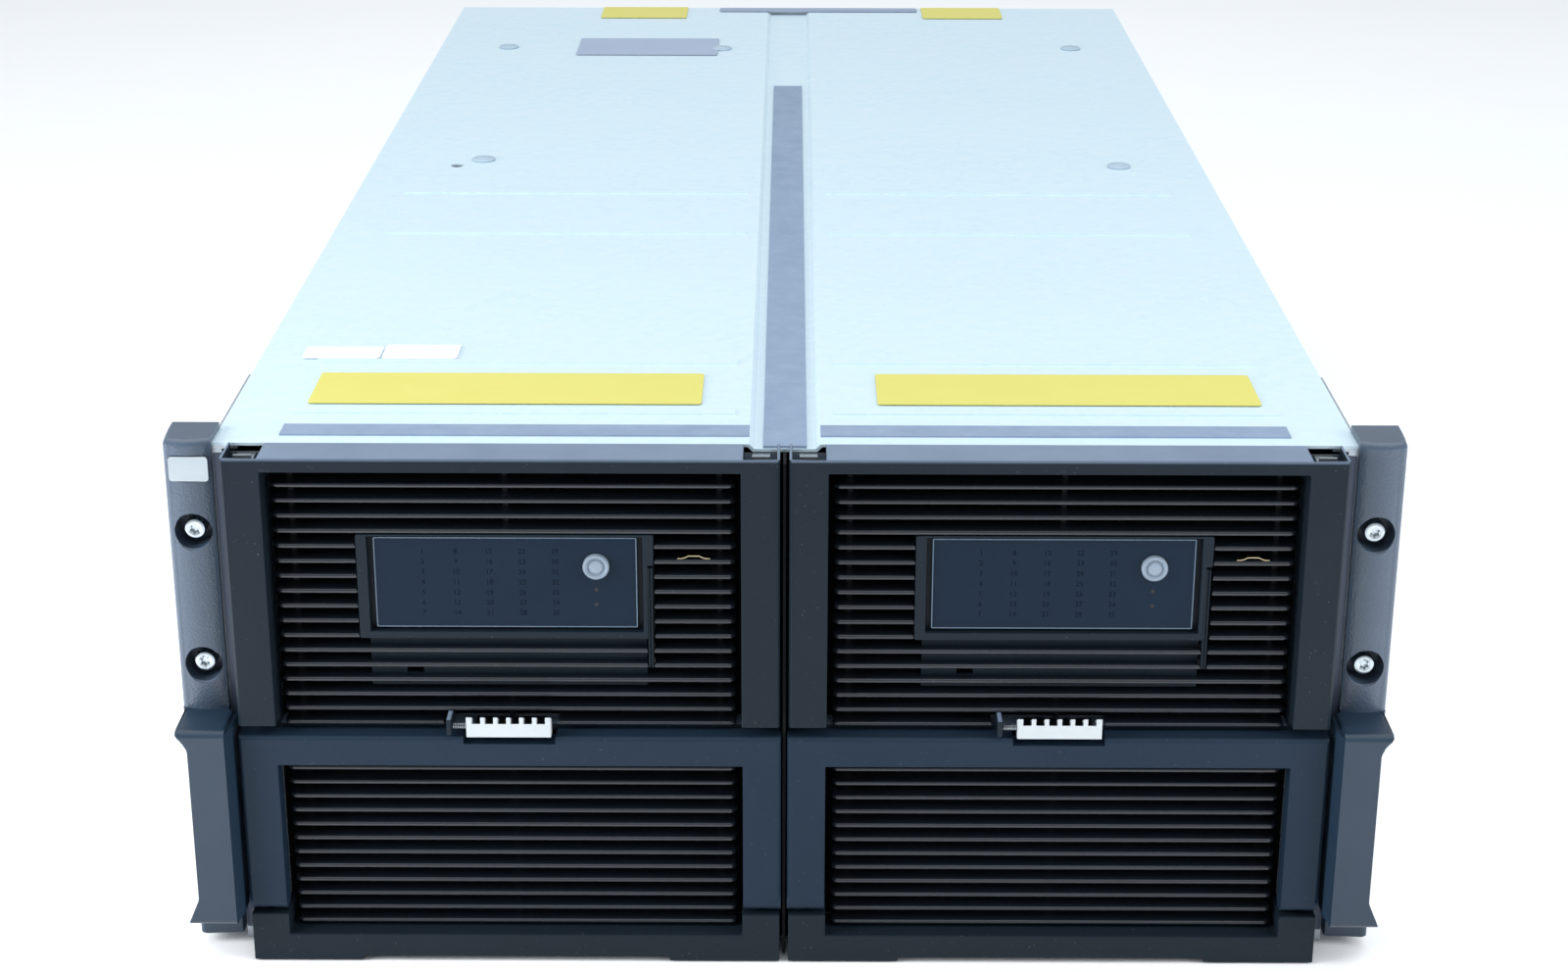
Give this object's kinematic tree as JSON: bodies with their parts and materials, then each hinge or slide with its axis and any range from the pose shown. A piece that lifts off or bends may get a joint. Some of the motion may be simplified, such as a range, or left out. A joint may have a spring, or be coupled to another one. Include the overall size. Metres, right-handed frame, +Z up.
{
  "type": "disk enclosure",
  "caption": "Rack-mounted disk enclosure with side-by-side sliding drawers behind louvred bezels, each with a display, a sprung latch and a hinged pull handle.",
  "frame": {"origin": "middle of the footprint, on the plane that the base pan rests on", "axes": "+Z up, the drawer fronts face -Y, +X to the right of someone facing them"},
  "size_m": [0.485, 0.939, 0.2222],
  "materials": {
    "sheet_steel": "zinc-coated sheet",
    "cover_steel": "bright zinc-coated sheet",
    "ear_plastic": "pebbled slate",
    "bezel_plastic": "satin charcoal",
    "louvre_plastic": "satin charcoal",
    "handle_plastic": "satin slate blue",
    "display_plastic": "gloss navy",
    "window_plastic": "gloss navy",
    "button_plastic": "satin, translucent",
    "latch_plastic": "satin off-white",
    "spring_steel": "bright",
    "screw_steel": "bright",
    "rail_steel": "bright zinc",
    "seal_rubber": "matt grey",
    "board": "solder mask",
    "drive_aluminium": "cast",
    "module_aluminium": "satin",
    "fan_plastic": "black"
  },
  "bodies": {
    "chassis": {"base_pan": "sheet_steel", "top_cover": "cover_steel", "seal_strips": "seal_rubber", "centre_divider": "sheet_steel", "rack_screws": "screw_steel", "slide_outer_rails": "rail_steel", "midplane_board": "board", "module_cage": "sheet_steel", "left_side_panel": "sheet_steel", "left_rack_flange": "sheet_steel", "left_ear_cover": "ear_plastic", "left_ear_grip": "ear_plastic", "right_side_panel": "sheet_steel", "right_rack_flange": "sheet_steel", "right_ear_cover": "ear_plastic", "right_ear_grip": "ear_plastic"},
    "left_drawer": {"left_drawer_tray": "sheet_steel", "left_upper_bezel": "bezel_plastic", "left_upper_louvres": "louvre_plastic", "left_lower_louvres": "louvre_plastic", "left_drawer_lip": "bezel_plastic", "left_display_frame": "display_plastic", "left_display_window": "window_plastic", "left_drive_backplane": "board", "left_drives": "drive_aluminium", "left_slide_inner_rails": "rail_steel", "left_handle_pins": "screw_steel", "left_latch_spring": "spring_steel"},
    "left_slide_middle": {"left_slide_middle_rails": "rail_steel"},
    "left_handle": {"left_pull_handle": "handle_plastic"},
    "left_latch": {"left_release_latch": "latch_plastic"},
    "left_button": {"left_ident_button": "button_plastic"},
    "left_inner_supply": {"left_inner_power_supply": "module_aluminium"},
    "left_outer_supply": {"left_outer_power_supply": "module_aluminium"},
    "left_io": {"left_io_module": "module_aluminium"},
    "left_fan": {"left_fan_module": "module_aluminium"},
    "left_rotor": {"left_fan_rotor": "fan_plastic"},
    "right_drawer": {"right_drawer_tray": "sheet_steel", "right_upper_bezel": "bezel_plastic", "right_upper_louvres": "louvre_plastic", "right_lower_louvres": "louvre_plastic", "right_drawer_lip": "bezel_plastic", "right_display_frame": "display_plastic", "right_display_window": "window_plastic", "right_drive_backplane": "board", "right_drives": "drive_aluminium", "right_slide_inner_rails": "rail_steel", "right_handle_pins": "screw_steel", "right_latch_spring": "spring_steel"},
    "right_slide_middle": {"right_slide_middle_rails": "rail_steel"},
    "right_handle": {"right_pull_handle": "handle_plastic"},
    "right_latch": {"right_release_latch": "latch_plastic"},
    "right_button": {"right_ident_button": "button_plastic"},
    "right_inner_supply": {"right_inner_power_supply": "module_aluminium"},
    "right_outer_supply": {"right_outer_power_supply": "module_aluminium"},
    "right_io": {"right_io_module": "module_aluminium"},
    "right_fan": {"right_fan_module": "module_aluminium"},
    "right_rotor": {"right_fan_rotor": "fan_plastic"}
  },
  "joints": [
    {"name": "left_drawer_slide", "type": "slide", "parent": "chassis", "child": "left_drawer", "axis": [0, -1, 0], "range_m": [0, 0.74]},
    {"name": "left_middle_slide", "type": "slide", "parent": "chassis", "child": "left_slide_middle", "axis": [0, -1, 0], "range_m": [0, 0.37]},
    {"name": "left_handle_hinge", "type": "hinge", "parent": "left_drawer", "child": "left_handle", "pos_m": [-0.10963, -0.4565, 0.028], "axis": [1, 0, 0], "range_deg": [0, 85]},
    {"name": "left_latch_slide", "type": "slide", "parent": "left_drawer", "child": "left_latch", "axis": [-1, 0, 0], "range_m": [0, 0.003], "stiffness_N_per_m": 400, "deforming": ["left_latch_spring"]},
    {"name": "left_button_press", "type": "slide", "parent": "left_drawer", "child": "left_button", "axis": [0, 1, 0], "range_m": [0, 0.001], "stiffness_N_per_m": 600},
    {"name": "left_inner_supply_slide", "type": "slide", "parent": "chassis", "child": "left_inner_supply", "axis": [0, 1, 0], "range_m": [0, 0.15]},
    {"name": "left_outer_supply_slide", "type": "slide", "parent": "chassis", "child": "left_outer_supply", "axis": [0, 1, 0], "range_m": [0, 0.15]},
    {"name": "left_io_slide", "type": "slide", "parent": "chassis", "child": "left_io", "axis": [0, 1, 0], "range_m": [0, 0.15]},
    {"name": "left_fan_slide", "type": "slide", "parent": "chassis", "child": "left_fan", "axis": [0, 1, 0], "range_m": [0, 0.15]},
    {"name": "left_rotor_spin", "type": "hinge", "parent": "left_fan", "child": "left_rotor", "pos_m": [-0.15757, 0.3469, 0.16325], "axis": [0, 1, 0], "continuous": true},
    {"name": "right_drawer_slide", "type": "slide", "parent": "chassis", "child": "right_drawer", "axis": [0, -1, 0], "range_m": [0, 0.74]},
    {"name": "right_middle_slide", "type": "slide", "parent": "chassis", "child": "right_slide_middle", "axis": [0, -1, 0], "range_m": [0, 0.37]},
    {"name": "right_handle_hinge", "type": "hinge", "parent": "right_drawer", "child": "right_handle", "pos_m": [0.10963, -0.4565, 0.028], "axis": [1, 0, 0], "range_deg": [0, 85]},
    {"name": "right_latch_slide", "type": "slide", "parent": "right_drawer", "child": "right_latch", "axis": [-1, 0, 0], "range_m": [0, 0.003], "stiffness_N_per_m": 400, "deforming": ["right_latch_spring"]},
    {"name": "right_button_press", "type": "slide", "parent": "right_drawer", "child": "right_button", "axis": [0, 1, 0], "range_m": [0, 0.001], "stiffness_N_per_m": 600},
    {"name": "right_inner_supply_slide", "type": "slide", "parent": "chassis", "child": "right_inner_supply", "axis": [0, 1, 0], "range_m": [0, 0.15]},
    {"name": "right_outer_supply_slide", "type": "slide", "parent": "chassis", "child": "right_outer_supply", "axis": [0, 1, 0], "range_m": [0, 0.15]},
    {"name": "right_io_slide", "type": "slide", "parent": "chassis", "child": "right_io", "axis": [0, 1, 0], "range_m": [0, 0.15]},
    {"name": "right_fan_slide", "type": "slide", "parent": "chassis", "child": "right_fan", "axis": [0, 1, 0], "range_m": [0, 0.15]},
    {"name": "right_rotor_spin", "type": "hinge", "parent": "right_fan", "child": "right_rotor", "pos_m": [0.17558, 0.3469, 0.16325], "axis": [0, 1, 0], "continuous": true}
  ],
  "couplings": [
    {"joint": "left_middle_slide", "follows": "left_drawer_slide", "ratio": 0.5},
    {"joint": "right_middle_slide", "follows": "right_drawer_slide", "ratio": 0.5}
  ]
}
